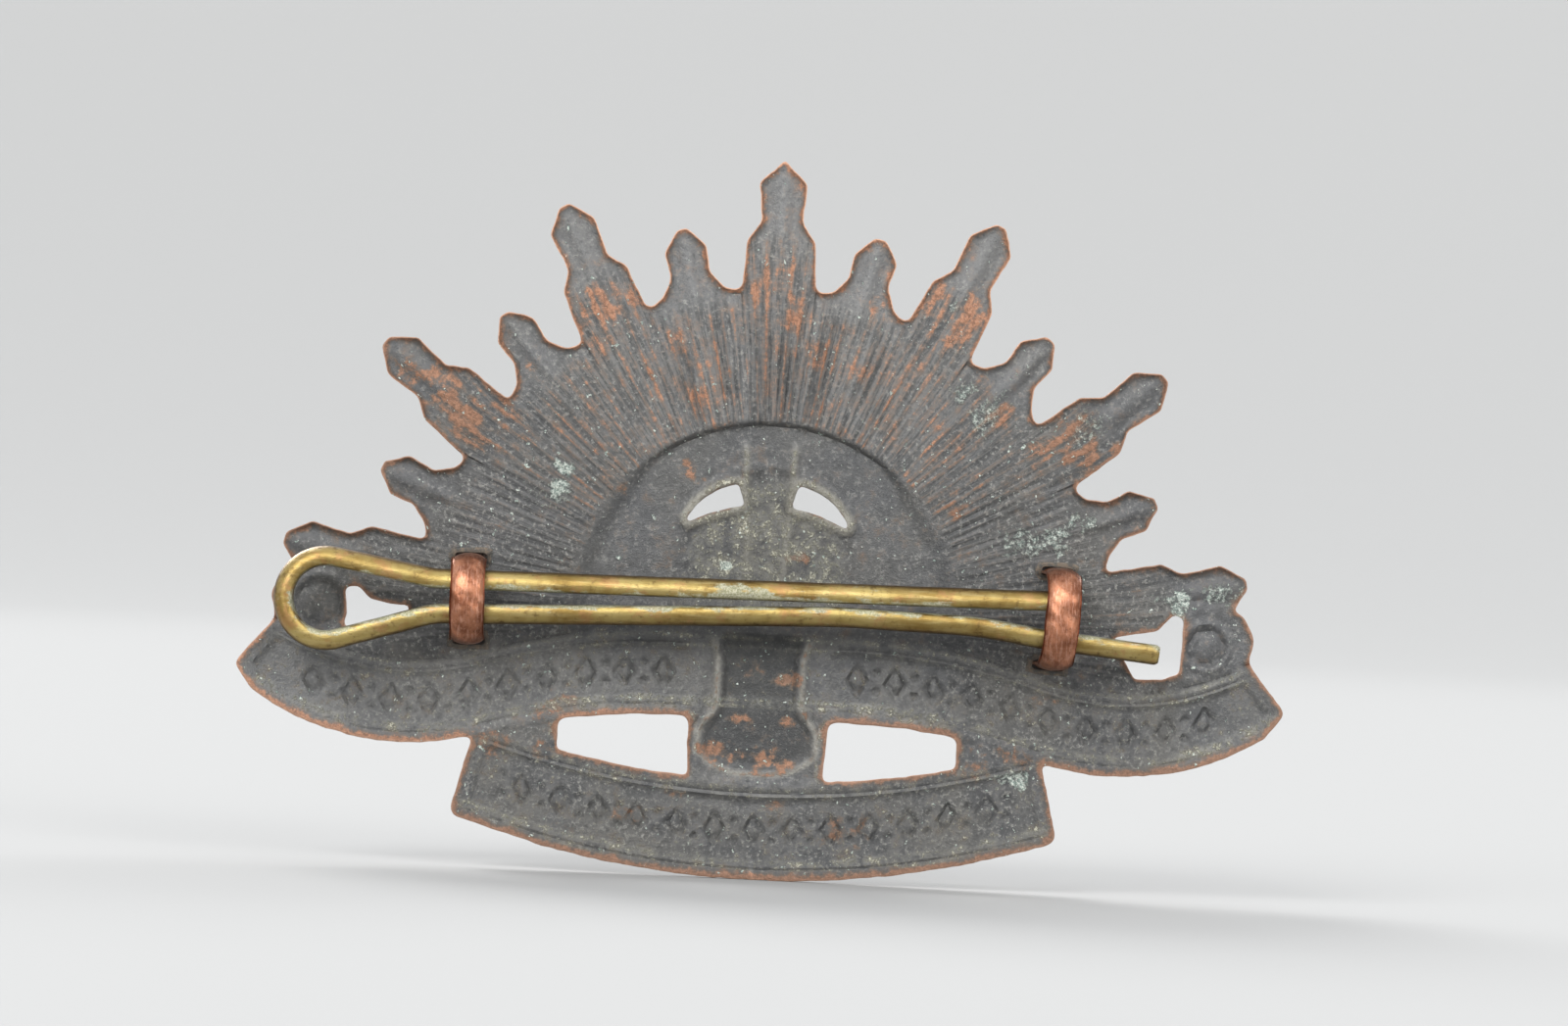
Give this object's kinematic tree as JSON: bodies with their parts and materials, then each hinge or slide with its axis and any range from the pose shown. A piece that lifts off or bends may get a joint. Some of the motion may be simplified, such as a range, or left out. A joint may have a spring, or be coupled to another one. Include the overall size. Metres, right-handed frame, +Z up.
{
  "type": "cap badge",
  "caption": "Struck sunburst badge with two scrolls, held on a cap by a split pin pushed through loops on its back.",
  "frame": {"origin": "on the plane of the back rim, on the centre line, in the middle of the flat rim at the foot of the lower scroll", "axes": "+Z up the middle ray, -Y out of the decorated front, +Y out of the back towards the cap, +X towards the pin's eye"},
  "size_m": [0.0704, 0.0078, 0.0483],
  "materials": {
    "oxidised_copper": "dark matt patina with copper wear on edges",
    "loop_copper": "satin copper",
    "braze_metal": "dull",
    "pin_brass": "satin, tarnished"
  },
  "bodies": {
    "badge": {"badge_plate": "oxidised_copper", "eye_loop": "loop_copper", "tail_loop": "loop_copper", "braze_eye_loop_upper": "braze_metal", "braze_eye_loop_lower": "braze_metal", "braze_tail_loop_upper": "braze_metal", "braze_tail_loop_lower": "braze_metal"},
    "pin": {"split_pin": "pin_brass"}
  },
  "joints": [
    {"name": "pin_slide", "type": "slide", "parent": "badge", "child": "pin", "axis": [1, 0, 0], "range_m": [0, 0.05]}
  ]
}
